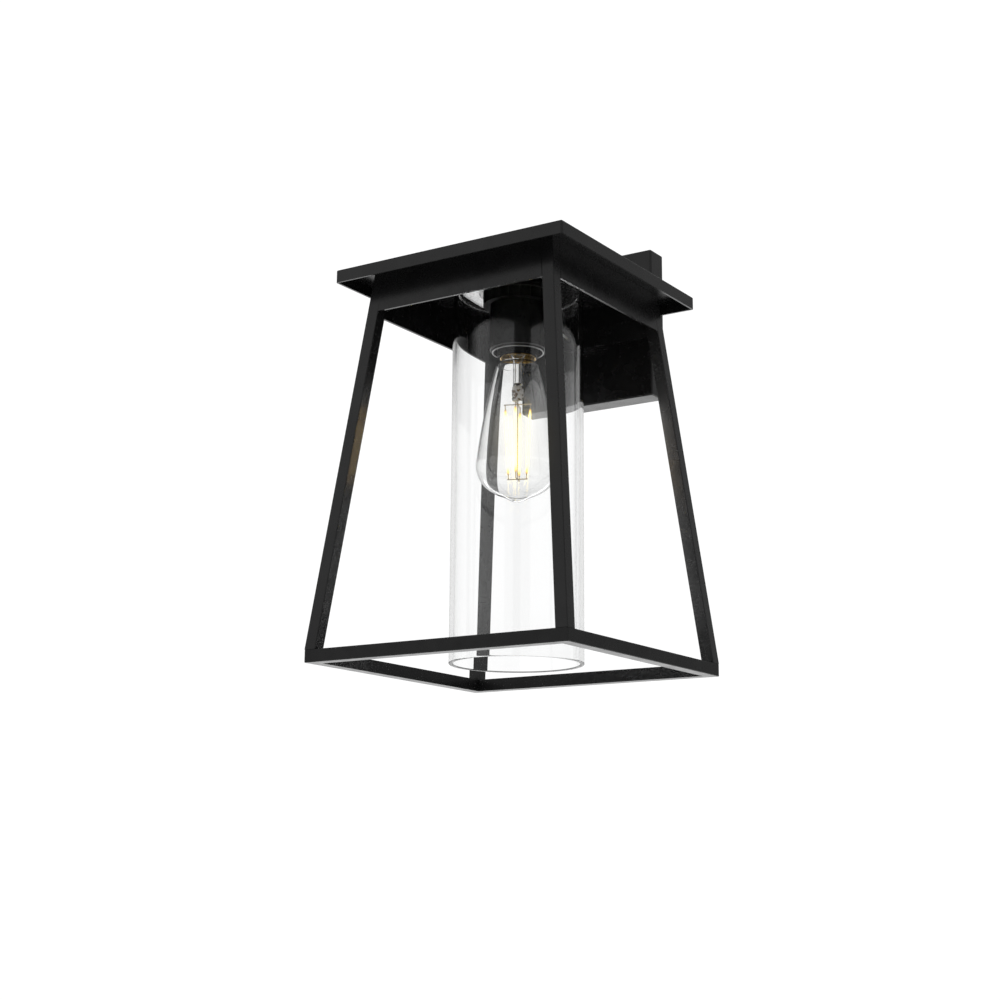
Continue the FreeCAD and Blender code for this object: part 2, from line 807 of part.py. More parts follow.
def bulb_form(inset):
    """The bulb's form moved in by an inset: neck, long flank, blunt round end and a small drawn tip."""
    neck = bulb_neck_radius - inset
    flare = bulb_neck_flare_radius - inset
    flare_z = cap_bottom - bulb_neck_flare_height
    neck_top = cap_bottom + bulb_neck_in_cap - static_fit
    neck_middle = (neck + (flare - neck) * bulb_neck_bend_out,
                   cap_bottom - bulb_neck_flare_height * bulb_neck_bend_down)
    end_z = bulb_tip + bulb_tip_height + bulb_end_depth
    corner_out = bulb_radius - bulb_end_corner
    crown = corner_out ** 2 + bulb_end_depth ** 2 - bulb_end_corner ** 2
    crown = crown / (2 * (bulb_end_depth - bulb_end_corner))
    crown_z = end_z - bulb_end_depth + crown
    tip_base = bulb_tip_base_radius - inset
    tip_bend = bulb_tip_radius - inset

    def on_corner(angle):
        reach = bulb_end_corner - inset
        return (corner_out + reach * math.cos(angle), end_z + reach * math.sin(angle))

    def on_crown(angle):
        reach = crown - inset
        return (reach * math.cos(angle), crown_z + reach * math.sin(angle))

    join_angle = math.radians(bulb_join_angle)
    meet_angle = math.atan2(end_z - crown_z, corner_out)
    tip_angle = -math.acos(tip_base / (crown - inset))
    join = on_corner(join_angle)
    flank_middle = ((flare + join[0]) / 2 + bulb_flank_bulge, (flare_z + join[1]) / 2)
    dome_radius, dome_depth = dome_middle(tip_bend, bulb_tip_dome)
    return turned(
        (0, neck_top),
        ((neck, neck_top),),
        ((neck, cap_bottom),),
        (neck_middle, (flare, flare_z)),
        (flank_middle, join),
        (on_corner((join_angle + meet_angle) / 2), on_corner(meet_angle)),
        (on_crown((meet_angle + tip_angle) / 2), on_crown(tip_angle)),
        ((tip_bend, bulb_tip + inset + bulb_tip_dome),),
        ((dome_radius, bulb_tip + inset + dome_depth), (0, bulb_tip + inset)),
    )


stem_flare_radius = bulb_neck_radius - bulb_glass - static_fit
stem_top = cap_bottom + bulb_neck_in_cap - 2 * static_fit
stem_bottom = cap_bottom - stem_length
pinch_bottom = stem_bottom - pinch_height
filament_top = pinch_bottom - filament_below_pinch
filament_bottom = filament_top - filament_length


def make_stem():
    """The glass stem: a flare sealed to the neck, a hollow tube and a flat pinch that grips the wires."""
    flare = stem_flare_radius
    tube = turned(
        (stem_radius - stem_wall, stem_bottom),
        ((stem_radius, stem_bottom),),
        ((stem_radius, cap_bottom),),
        ((flare, stem_top - stem_wall),),
        ((flare, stem_top),),
        ((flare - stem_wall, stem_top),),
        ((stem_radius - stem_wall, cap_bottom + stem_wall),),
    )
    pinch = block(-pinch_width / 2, pinch_width / 2,
                  lantern_y - pinch_thickness / 2, lantern_y + pinch_thickness / 2,
                  pinch_bottom, stem_bottom)
    pinch = pinch.makeFillet(pinch_thickness / 4, long_edges(pinch, UP))
    wire_bore = upright(filament_wire_radius + static_fit, pinch_bottom, stem_bottom)
    return tube.fuse(pinch).removeSplitter().cut(wire_bore)


def filament_places(radius, z):
    """The points where the filaments end, evenly round a circle at height z."""
    places = []
    for i in range(filament_count):
        angle = math.radians(filament_start_angle + 360.0 * i / filament_count)
        places.append(vec(radius * math.cos(angle), lantern_y + radius * math.sin(angle), z))
    return places


def make_filaments():
    """Rods with flat ends that lean in towards their feet."""
    rods = []
    heads = filament_places(filament_circle_radius, filament_top)
    feet = filament_places(filament_foot_radius, filament_bottom)
    for head, foot in zip(heads, feet):
        ends = [Part.Wire(Part.Circle(end, UP, filament_radius).toShape()) for end in (foot, head)]
        rods.append(Part.makeLoft(ends, True, True))
    return Part.makeCompound(rods)


def make_filament_wires():
    """The centre wire out of the pinch, with a spider of arms to the filaments' ends."""
    wire = upright(filament_wire_radius, filament_bottom - 2 * filament_wire_radius, stem_bottom)
    head_z = filament_top + filament_wire_radius
    foot_z = filament_bottom - filament_wire_radius
    for radius, z in ((filament_circle_radius, head_z), (filament_foot_radius, foot_z)):
        middle = vec(0, lantern_y, z)
        for end in filament_places(radius, z):
            arm = Part.makeCylinder(filament_wire_radius, radius + filament_radius, middle, end - middle)
            wire = wire.fuse(arm)
    return wire.removeSplitter()


def make_driver():
    """The small circuit board inside the cap, standing on the stem's flare."""
    half = stem_flare_radius - stem_wall / 2
    return block(-half, half,
                 lantern_y - driver_thickness / 2, lantern_y + driver_thickness / 2,
                 stem_top, stem_top + driver_height)


parts["bulb_contact"] = make_bulb_contact()
parts["bulb_insulator"] = make_bulb_insulator()
parts["bulb_cap"] = make_bulb_cap()
parts["bulb_glass"] = bulb_form(0.0).cut(bulb_form(bulb_glass))
parts["bulb_stem"] = make_stem()
parts["bulb_filaments"] = make_filaments()
parts["bulb_filament_wires"] = make_filament_wires()
parts["bulb_driver"] = make_driver()


# Supply leads, from the wire connectors in the canopy to the lampholder's terminals, and the ground lead

cavity_middle = -canopy_depth / 2
connector_top = arm_middle - connector_drop
channel_middle = terminal_seat + terminal_head_height + lead_radius + static_fit
lead_rise_y = channel_rear + channel_rear_gap / 2


def make_supply_lead(side):
    outside = side * connector_spacing / 2
    inside = side * lead_spacing / 2
    lead_end = lantern_y + terminal_from_axis - terminal_head_radius
    return lead([
        vec(outside, cavity_middle, connector_top - connector_overlap),
        vec(outside, cavity_middle, arm_middle),
        vec(inside, cavity_middle, arm_middle),
        vec(inside, lead_rise_y, arm_middle),
        vec(inside, lead_rise_y, channel_middle),
        vec(inside, lead_end, channel_middle),
    ])


def make_connectors():
    connectors = []
    low = connector_top - connector_length
    for side in (-1, 1):
        x = side * connector_spacing / 2
        cone = Part.makeCone(connector_tip_radius, connector_mouth_radius, connector_length,
                             vec(x, cavity_middle, low))
        bore = upright(lead_radius + static_fit, connector_top - connector_overlap, connector_top,
                       x, cavity_middle)
        connectors.append(cone.cut(bore))
    return Part.makeCompound(connectors)


def make_ground_lead():
    """From beside the ground screw's head to the inside of the canopy's front."""
    x = ground_screw_x + side_screw_head_radius + lead_radius + static_fit
    y = -crossbar_thickness - lead_radius - static_fit
    rise = crossbar_width / 2 + lead_bend_radius
    return lead([
        vec(x, y, ground_screw_z - side_screw_head_radius),
        vec(x, y, rise + lead_radius),
        vec(x, canopy_front + canopy_wall, rise + lead_radius),
    ])


parts["lead_neutral"] = make_supply_lead(-1)
parts["lead_live"] = make_supply_lead(1)
parts["wire_connectors"] = make_connectors()
parts["ground_lead"] = make_ground_lead()

os.makedirs("parts", exist_ok=True)
for name, shape in parts.items():
    shape.exportStep("parts/" + name + ".step")
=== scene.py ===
"""Looks of the outdoor wall sconce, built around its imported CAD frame."""

import json
import math

import bmesh
import bpy
from mathutils import Matrix, Vector


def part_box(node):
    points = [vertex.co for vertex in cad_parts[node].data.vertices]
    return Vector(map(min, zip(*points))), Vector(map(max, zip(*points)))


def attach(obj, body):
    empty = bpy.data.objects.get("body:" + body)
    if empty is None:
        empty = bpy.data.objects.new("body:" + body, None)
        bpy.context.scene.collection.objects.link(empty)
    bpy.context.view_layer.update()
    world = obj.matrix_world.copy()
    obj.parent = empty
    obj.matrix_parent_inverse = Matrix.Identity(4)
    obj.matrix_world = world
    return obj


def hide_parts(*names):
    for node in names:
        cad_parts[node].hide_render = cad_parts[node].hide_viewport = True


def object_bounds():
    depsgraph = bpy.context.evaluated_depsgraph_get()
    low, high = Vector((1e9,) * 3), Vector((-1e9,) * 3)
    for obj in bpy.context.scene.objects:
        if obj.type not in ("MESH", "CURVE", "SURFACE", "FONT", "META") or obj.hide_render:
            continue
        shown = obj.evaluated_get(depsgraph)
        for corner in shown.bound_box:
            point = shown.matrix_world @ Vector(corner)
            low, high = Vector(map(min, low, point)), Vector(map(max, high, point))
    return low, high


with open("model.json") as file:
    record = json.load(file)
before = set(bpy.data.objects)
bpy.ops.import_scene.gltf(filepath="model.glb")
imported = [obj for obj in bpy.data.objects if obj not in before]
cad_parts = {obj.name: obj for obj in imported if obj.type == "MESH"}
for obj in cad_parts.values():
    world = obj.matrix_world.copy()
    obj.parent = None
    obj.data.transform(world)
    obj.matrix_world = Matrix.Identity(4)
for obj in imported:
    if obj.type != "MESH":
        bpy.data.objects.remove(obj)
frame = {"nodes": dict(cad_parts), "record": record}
cad_low, cad_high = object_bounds()
nodes = frame["nodes"]
scene = bpy.context.scene

MM = 0.001
seat_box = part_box("shade_seat")
AXIS_X = (seat_box[0].x + seat_box[1].x) / 2
AXIS_Y = (seat_box[0].y + seat_box[1].y) / 2

SHADE_WALL = 3.0 * MM
SOCKET_LIP = 1.8 * MM
STEM_TUBE = 3.8 * MM
STEM_PINCH = 11.0 * MM
FILAMENT_TAB = 3.5 * MM
FILAMENT_DIM = 6.0 * MM
FILAMENT_GLOW = 4.0


# Node helpers

def new_material(name):
    material = bpy.data.materials.new(name)
    material.use_nodes = True
    return material, material.node_tree, material.node_tree.nodes["Principled BSDF"]


def grey(level):
    return (level, level, level)


def place(tree):
    """The surface's own coordinates in metres."""
    return tree.nodes.new("ShaderNodeTexCoord").outputs["Object"]


def noise(tree, size, detail=3.0):
    """Cloudy noise with features of about one size in metres."""
    texture = tree.nodes.new("ShaderNodeTexNoise")
    texture.inputs["Scale"].default_value = 1.0 / size
    texture.inputs["Detail"].default_value = detail
    tree.links.new(place(tree), texture.inputs["Vector"])
    return texture.outputs["Fac"]


def spread(tree, value, low, high, start=0.3, end=0.7):
    """A value from start to end mapped to low to high; the start and end given here suit noise."""
    node = tree.nodes.new("ShaderNodeMapRange")
    node.inputs["From Min"].default_value = start
    node.inputs["From Max"].default_value = end
    node.inputs["To Min"].default_value = low
    node.inputs["To Max"].default_value = high
    tree.links.new(value, node.inputs["Value"])
    return node.outputs["Result"]


def height(tree, low, high):
    """A number that runs from 0 to 1 between two heights of the frame."""
    parts = tree.nodes.new("ShaderNodeSeparateXYZ")
    tree.links.new(place(tree), parts.inputs["Vector"])
    return spread(tree, parts.outputs["Z"], 0.0, 1.0, low, high)


def worked(tree, operation, first, second=None):
    """What a Math node makes of one or two values, each a link or a number."""
    node = tree.nodes.new("ShaderNodeMath")
    node.operation = operation
    for socket, value in zip(node.inputs, (first, second)):
        if isinstance(value, float):
            socket.default_value = value
        elif value is not None:
            tree.links.new(value, socket)
    return node.outputs["Value"]


def product(tree, first, *others):
    for other in others:
        first = worked(tree, "MULTIPLY", first, other)
    return first


def larger(tree, first, *others):
    for other in others:
        first = worked(tree, "MAXIMUM", first, other)
    return first


def mixed(tree, factor, first, second, kind="RGBA"):
    """Two values mixed, each a link or a colour."""
    node = tree.nodes.new("ShaderNodeMix")
    node.data_type = kind
    tree.links.new(factor, node.inputs["Factor"])
    for socket, value in ((node.inputs["A"], first), (node.inputs["B"], second)):
        if isinstance(value, tuple):
            socket.default_value = (*value, 1.0)
        else:
            tree.links.new(value, socket)
    return node.outputs["Result"]


def tint(tree, value, dark, light):
    """A colour between two, by a noise value or by any value from 0 to 1."""
    return mixed(tree, spread(tree, value, 0.0, 1.0), dark, light)


def bump(tree, relief, depth):
    node = tree.nodes.new("ShaderNodeBump")
    node.inputs["Strength"].default_value = 1.0
    node.inputs["Distance"].default_value = depth
    tree.links.new(relief, node.inputs["Height"])
    return node.outputs["Normal"]


def surface(name, dark, light, rough, grain, depth, patch, metallic=0.0, specular=0.5):
    """A finish with cloudy colour, uneven gloss and a fine grain."""
    material, tree, shader = new_material(name)
    tree.links.new(tint(tree, noise(tree, patch, 5.0), dark, light), shader.inputs["Base Color"])
    tree.links.new(spread(tree, noise(tree, patch / 3, 4.0), *rough), shader.inputs["Roughness"])
    tree.links.new(bump(tree, noise(tree, grain, 2.0), depth), shader.inputs["Normal"])
    shader.inputs["Metallic"].default_value = metallic
    shader.inputs["Specular IOR Level"].default_value = specular
    return material


def clear_glass(name, colour, ior, wave, depth, haze=0.003):
    """Clear glass with a faint waviness and the lightest haze."""
    material, tree, shader = new_material(name)
    shader.inputs["Base Color"].default_value = (*colour, 1.0)
    shader.inputs["Transmission Weight"].default_value = 1.0
    shader.inputs["IOR"].default_value = ior
    tree.links.new(spread(tree, noise(tree, wave / 2, 3.0), 0.0, haze), shader.inputs["Roughness"])
    tree.links.new(bump(tree, noise(tree, wave, 1.0), depth), shader.inputs["Normal"])
    return material


# Finishes: dark and light colour, range of roughness, size and depth of the grain, size of the cloudy patches

powder = surface("satin_black_powder", (0.0040, 0.0040, 0.0041), (0.0060, 0.0060, 0.0061), (0.22, 0.30),
                 0.9 * MM, 0.0012 * MM, patch=0.03, specular=0.24)
zinc = surface("zinc_plate", (0.50, 0.50, 0.48), (0.66, 0.66, 0.65), (0.26, 0.42),
               0.5 * MM, 0.004 * MM, patch=0.006, metallic=1.0)
foam = surface("foam_seal", grey(0.012), grey(0.03), (0.85, 0.98),
               0.7 * MM, 0.12 * MM, patch=0.004, specular=0.2)
rubber = surface("black_rubber", grey(0.012), grey(0.022), (0.6, 0.75),
                 0.4 * MM, 0.01 * MM, patch=0.006, specular=0.3)
green_paint = surface("green_paint", (0.012, 0.16, 0.045), (0.02, 0.24, 0.07), (0.25, 0.4),
                      0.5 * MM, 0.006 * MM, patch=0.004)
green_wire = surface("green_wire", (0.015, 0.22, 0.06), (0.025, 0.3, 0.09), (0.4, 0.55),
                     0.4 * MM, 0.006 * MM, patch=0.005)
white_wire = surface("white_wire", (0.66, 0.66, 0.62), (0.8, 0.8, 0.77), (0.4, 0.55),
                     0.4 * MM, 0.006 * MM, patch=0.005)
black_wire = surface("black_wire", grey(0.012), grey(0.022), (0.4, 0.55),
                     0.4 * MM, 0.006 * MM, patch=0.005)
connector_orange = surface("connector_orange", (0.62, 0.17, 0.012), (0.8, 0.25, 0.025), (0.38, 0.5),
                           0.5 * MM, 0.01 * MM, patch=0.006)
phenolic = surface("socket_phenolic", grey(0.0055), grey(0.009), (0.42, 0.52),
                   0.5 * MM, 0.002 * MM, patch=0.012, specular=0.06)
ceramic = surface("socket_ceramic", (0.72, 0.7, 0.65), (0.84, 0.83, 0.79), (0.5, 0.65),
                  0.5 * MM, 0.01 * MM, patch=0.005)
brass = surface("holder_brass", (0.62, 0.40, 0.12), (0.76, 0.54, 0.22), (0.2, 0.36),
                0.5 * MM, 0.005 * MM, patch=0.006, metallic=1.0)
cap_brass = surface("cap_brass", (0.34, 0.20, 0.045), (0.62, 0.42, 0.14), (0.16, 0.34),
                    0.4 * MM, 0.006 * MM, patch=0.003, metallic=1.0)
solder = surface("contact_solder", (0.5, 0.5, 0.52), (0.66, 0.66, 0.68), (0.25, 0.45),
                 0.6 * MM, 0.03 * MM, patch=0.003, metallic=1.0)
black_glass = surface("insulator_glass", (0.008, 0.008, 0.012), (0.02, 0.02, 0.028), (0.08, 0.16),
                      1.5 * MM, 0.02 * MM, patch=0.004)
wire_metal = surface("support_wire", (0.52, 0.44, 0.34), (0.7, 0.6, 0.46), (0.22, 0.36),
                     0.3 * MM, 0.003 * MM, patch=0.003, metallic=1.0)
board = surface("circuit_board", (0.02, 0.12, 0.05), (0.05, 0.2, 0.09), (0.35, 0.5),
                0.5 * MM, 0.02 * MM, patch=0.003)
bulb_glass = clear_glass("bulb_glass", (0.99, 0.992, 0.99), 1.5, 0.03, 0.004 * MM)
stem_glass = clear_glass("stem_glass", (0.985, 0.985, 0.98), 1.5, 0.006, 0.03 * MM)


def make_shade_glass():
    """The shade's clear glass, with painted shade: a thin dark band round the inner edge of its foot."""
    clear = (0.985, 0.987, 0.987)
    painted_dark_line = grey(0.04)
    material = clear_glass("shade_glass", clear, 1.42, 0.08, 0.006 * MM)
    tree = material.node_tree
    low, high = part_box("glass_shade")
    middle_of_wall = (high.x - low.x) / 2 - SHADE_WALL / 2
    flat = tree.nodes.new("ShaderNodeVectorMath")
    flat.operation = "MULTIPLY_ADD"
    flat.inputs[1].default_value = (1.0, 1.0, 0.0)
    flat.inputs[2].default_value = (-AXIS_X, -AXIS_Y, 0.0)
    tree.links.new(place(tree), flat.inputs[0])
    reach = tree.nodes.new("ShaderNodeVectorMath")
    reach.operation = "LENGTH"
    tree.links.new(flat.outputs["Vector"], reach.inputs[0])
    inner = spread(tree, reach.outputs["Value"], 1.0, 0.0, middle_of_wall - 0.1 * MM, middle_of_wall)
    foot = height(tree, low.z + 0.85 * MM, low.z + 0.75 * MM)
    # Painted shade: the glass colour is darkened in a thin band round the inner edge of the foot.
    tree.links.new(tint(tree, product(tree, inner, foot), clear, painted_dark_line),
                   tree.nodes["Principled BSDF"].inputs["Base Color"])
    return material


def make_socket_finish():
    """The lampholder's black, with painted highlights: the edge of its rim and its lip made bright and
    metallic.
    """
    material, tree, shader = new_material("socket_body_black")
    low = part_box("socket_body")[0].z
    rim = low + SOCKET_LIP
    lip = height(tree, low + 0.9 * MM, low + 0.7 * MM)
    edge = product(tree, height(tree, rim + 0.02 * MM, rim + 0.06 * MM),
                   height(tree, rim + 0.9 * MM, rim + 0.7 * MM))
    # Painted highlight: bright metallic bands on the rim's edge and on the lip, standing in for glints on
    # glossy black edges.
    painted_highlight = larger(tree, lip, edge)
    bright = tint(tree, lip, grey(0.10), grey(0.28))
    black = tint(tree, noise(tree, 0.012), grey(0.0055), grey(0.009))
    tree.links.new(mixed(tree, painted_highlight, black, bright), shader.inputs["Base Color"])
    tree.links.new(painted_highlight, shader.inputs["Metallic"])
    tree.links.new(spread(tree, noise(tree, 0.004, 4.0), 0.26, 0.36), shader.inputs["Roughness"])
    tree.links.new(bump(tree, noise(tree, 0.5 * MM, 2.0), 0.002 * MM), shader.inputs["Normal"])
    shader.inputs["Specular IOR Level"].default_value = 0.105
    return material


def make_pinch_glass():
    """Glass squeezed flat round the wires: crazed, with brown oxide in it."""
    material, tree, shader = new_material("pinch_glass")
    specks = spread(tree, noise(tree, 0.0022, 4.0), 0.0, 1.0, 0.42, 0.52)
    tree.links.new(tint(tree, specks, (0.16, 0.09, 0.05), (1.0, 0.98, 0.95)), shader.inputs["Base Color"])
    tree.links.new(spread(tree, noise(tree, 0.002), 0.02, 0.12), shader.inputs["Roughness"])
    tree.links.new(bump(tree, noise(tree, 0.0024, 3.0), 0.9 * MM), shader.inputs["Normal"])
    shader.inputs["Transmission Weight"].default_value = 0.4
    shader.inputs["IOR"].default_value = 1.5
    return material


def make_filament():
    """Glowing phosphor resin that dims over its last millimetres."""
    material, tree, shader = new_material("filament_glow")
    low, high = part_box("bulb_filaments")
    rise = height(tree, low.z + FILAMENT_TAB, low.z + FILAMENT_TAB + FILAMENT_DIM)
    fall = height(tree, high.z - FILAMENT_TAB, high.z - FILAMENT_TAB - FILAMENT_DIM)
    lit = product(tree, rise, fall)
    uneven = spread(tree, noise(tree, 0.002), 0.85 * FILAMENT_GLOW, FILAMENT_GLOW)
    tree.links.new(tint(tree, noise(tree, 0.001), (0.80, 0.62, 0.25), (0.90, 0.74, 0.36)),
                   shader.inputs["Base Color"])
    tree.links.new(tint(tree, lit, (1.0, 0.58, 0.14), (1.0, 0.80, 0.2)), shader.inputs["Emission Color"])
    tree.links.new(product(tree, lit, uneven), shader.inputs["Emission Strength"])
    tree.links.new(spread(tree, noise(tree, 0.002), 0.3, 0.5), shader.inputs["Roughness"])
    return material


shade_glass = make_shade_glass()
socket_finish = make_socket_finish()
pinch_glass = make_pinch_glass()
filament_glow = make_filament()

finish_of_slot = {
    "satin_black": powder, "zinc_steel": zinc, "foam_seal": foam, "black_rubber": rubber,
    "green_paint": green_paint, "green_wire": green_wire, "white_wire": white_wire, "black_wire": black_wire,
    "connector_plastic": connector_orange, "socket_black": phenolic, "white_ceramic": ceramic, "brass": brass,
    "cap_brass": cap_brass, "contact_solder": solder, "insulator_glass": black_glass,
    "shade_glass": shade_glass, "bulb_clear_glass": bulb_glass, "stem_glass": stem_glass,
    "filament": filament_glow, "filament_wire": wire_metal, "circuit_board": board,
}
slot_of_node = {row["node"]: row["material_slot"] for row in frame["record"]["subparts"]}
for node_name, node in nodes.items():
    node.data.materials.clear()
    node.data.materials.append(finish_of_slot[slot_of_node[node_name]])
nodes["socket_body"].data.materials[0] = socket_finish


# Mesh helpers

def add_piece(name, form, finish, body, stands_for=None, crease=35.0):
    """A mesh piece with smooth shading broken at its edges, riding on a body."""
    bmesh.ops.recalc_face_normals(form, faces=form.faces)
    mesh = bpy.data.meshes.new(name)
    form.to_mesh(mesh)
    form.free()
    mesh.validate()
    for polygon in mesh.polygons:
        polygon.use_smooth = True
    mesh.set_sharp_from_angle(angle=math.radians(crease))
    mesh.materials.append(finish)
    piece = bpy.data.objects.new(name, mesh)
    scene.collection.objects.link(piece)
    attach(piece, body)
    if stands_for:
        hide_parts(stands_for)


def sweep_rings(form, rings, closed):
    """Quads between rings of points with the same count; closed joins the last ring to the first."""
    rows = [[form.verts.new(point) for point in ring] for ring in rings]
    pairs = list(zip(rows, rows[1:]))
    if closed:
        pairs.append((rows[-1], rows[0]))
    for lower, upper in pairs:
        count = len(lower)
        for i in range(count):
            j = (i + 1) % count
            form.faces.new((lower[i], lower[j], upper[j], upper[i]))
    return rows


def capped_sweep(form, rings):
    """An open sweep with a face over each end."""
    rows = sweep_rings(form, rings, closed=False)
    form.faces.new(rows[0])
    form.faces.new(rows[-1])


def clamp(value):
    return min(max(value, 0.0), 1.0)


def circle(radius, z, count, x=AXIS_X, y=AXIS_Y):
    turn = 2 * math.pi / count
    return [(x + radius * math.cos(turn * i), y + radius * math.sin(turn * i), z) for i in range(count)]


def arc_points(middle, radius, start, end, count):
    """Points of an arc in a profile of (radius, height), its angles in degrees."""
    points = []
    for i in range(count + 1):
        angle = math.radians(start + (end - start) * i / count)
        points.append((middle[0] + radius * math.cos(angle), middle[1] + radius * math.sin(angle)))
    return points


def three_point_arc(start, through, end, count):
    """Points of the arc that joins two points through a third."""
    ax, ay = start
    bx, by = through
    cx, cy = end
    d = 2 * (ax * (by - cy) + bx * (cy - ay) + cx * (ay - by))
    a2, b2, c2 = ax * ax + ay * ay, bx * bx + by * by, cx * cx + cy * cy
    middle = ((a2 * (by - cy) + b2 * (cy - ay) + c2 * (ay - by)) / d,
              (a2 * (cx - bx) + b2 * (ax - cx) + c2 * (bx - ax)) / d)
    radius = math.dist(middle, start)
    first = math.degrees(math.atan2(ay - middle[1], ax - middle[0]))
    last = math.degrees(math.atan2(cy - middle[1], cx - middle[0]))
    turn = (last - first + 180.0) % 360.0 - 180.0
    return arc_points(middle, radius, first, first + turn, count)


def eased(profile):
    """A profile with each point but its ends drawn towards its neighbours."""
    points = [profile[0]]
    for before, here, after in zip(profile, profile[1:], profile[2:]):
        points.append(((before[0] + 2 * here[0] + after[0]) / 4, (before[1] + 2 * here[1] + after[1]) / 4))
    return points + [profile[-1]]


def moved_in(profile, depth):
    """A profile moved towards its inside by a wall's thickness."""
    moved = []
    for i, (r, z) in enumerate(profile):
        before = profile[max(i - 1, 0)]
        after = profile[min(i + 1, len(profile) - 1)]
        along = Vector((after[0] - before[0], after[1] - before[1])).normalized()
        moved.append((max(r + depth * along.y, 0.0), z - depth * along.x))
    return moved


# Pieces, most of them in place of a CAD node

def make_shade():
    """The clear glass cylinder, drawn in to a flat top, cut flat below with ground edges."""
    low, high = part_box("glass_shade")
    outer = (high.x - low.x) / 2
    inner = outer - SHADE_WALL
    bend = 5.0 * MM
    hole = 22.6 * MM
    edge = 0.6 * MM
    hold = 0.4 * MM
    facets = 192
    wall_top, wall_foot = high.z - bend - hold, low.z + edge + hold
    top_start, top_end = hole + edge + hold, outer - bend - hold
    bend_middle = (outer - bend, high.z - bend)
    profile = [(hole, high.z - SHADE_WALL + edge), (hole, high.z - edge), (hole + edge, high.z)]
    profile += [(top_start, high.z), (top_end, high.z)]
    profile += arc_points(bend_middle, bend, 90, 0, 12)
    profile += [(outer, wall_top), (outer, wall_foot)]
    profile += arc_points((outer - edge, low.z + edge), edge, 0, -90, 3)
    profile += arc_points((inner + edge, low.z + edge), edge, -90, -180, 3)
    profile += [(inner, wall_foot), (inner, wall_top)]
    profile += arc_points(bend_middle, bend - SHADE_WALL, 0, 90, 8)
    under_top = high.z - SHADE_WALL
    profile += [(top_end, under_top), (top_start, under_top), (hole + edge, under_top)]
    form = bmesh.new()
    sweep_rings(form, [circle(r, z, facets) for r, z in profile], closed=True)
    add_piece("shade_cylinder", form, shade_glass, "shade", "glass_shade")


def make_bulb():
    """The blown bulb: a neck flaring into long flanks, a blunt round end and a drawn tip."""
    low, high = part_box("bulb_glass")
    cap_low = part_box("bulb_cap")[0].z
    wide = (high.x - low.x) / 2
    wall = 0.9 * MM
    neck = 12.5 * MM
    flare = (16.8 * MM, cap_low - 5.0 * MM)
    flare_through = (13.79 * MM, cap_low - 3.0 * MM)
    flank_bulge = 1.5 * MM
    end_depth = 25.4 * MM
    corner = 22.0 * MM
    corner_start = 8.0
    tip_length = 2.8 * MM
    tip_base = 11.0 * MM
    tip_bend = (5.0 * MM, low.z + 1.2 * MM)
    tip_through = (2.55 * MM, low.z + 0.3 * MM)
    neck_steps, tip_steps = 4, 6
    facets = 128
    corner_middle = (wide - corner, low.z + tip_length + end_depth)
    crown = (corner_middle[0] ** 2 + end_depth ** 2 - corner ** 2) / (2 * (end_depth - corner))
    crown_middle = (0.0, corner_middle[1] - end_depth + crown)
    meet = math.degrees(math.atan2(corner_middle[1] - crown_middle[1], corner_middle[0]))
    join = arc_points(corner_middle, corner, corner_start, meet, 1)[0]
    flank = ((flare[0] + join[0]) / 2 + flank_bulge, (flare[1] + join[1]) / 2)
    profile = [(neck, high.z - (high.z - cap_low) * i / neck_steps) for i in range(neck_steps)]
    profile += three_point_arc((neck, cap_low), flare_through, flare, 8)
    profile += three_point_arc(flare, flank, join, 40)[1:]
    tip_angle = -math.degrees(math.acos(tip_base / crown))
    profile += arc_points(corner_middle, corner, corner_start, meet, 18)[1:]
    profile += arc_points(crown_middle, crown, meet, tip_angle, 10)[1:]
    tip_start = profile[-1]
    for i in range(1, tip_steps + 1):
        share = i / tip_steps
        profile.append((tip_start[0] + (tip_bend[0] - tip_start[0]) * share,
                        tip_start[1] + (tip_bend[1] - tip_start[1]) * share))
    profile += three_point_arc(tip_bend, tip_through, (0.0, low.z), 8)[1:-1]
    profile = eased(profile)
    form = bmesh.new()
    mouths = []
    for points, tip_z in ((profile, low.z), (moved_in(profile, wall), low.z + wall)):
        rows = sweep_rings(form, [circle(r, z, facets) for r, z in points], closed=False)
        tip = form.verts.new((AXIS_X, AXIS_Y, tip_z))
        for i in range(facets):
            form.faces.new((rows[-1][i], rows[-1][(i + 1) % facets], tip))
        mouths.append(rows[0])
    outer, inner = mouths
    for i in range(facets):
        j = (i + 1) % facets
        form.faces.new((outer[i], outer[j], inner[j], inner[i]))
    add_piece("bulb_envelope", form, bulb_glass, "bulb", "bulb_glass")


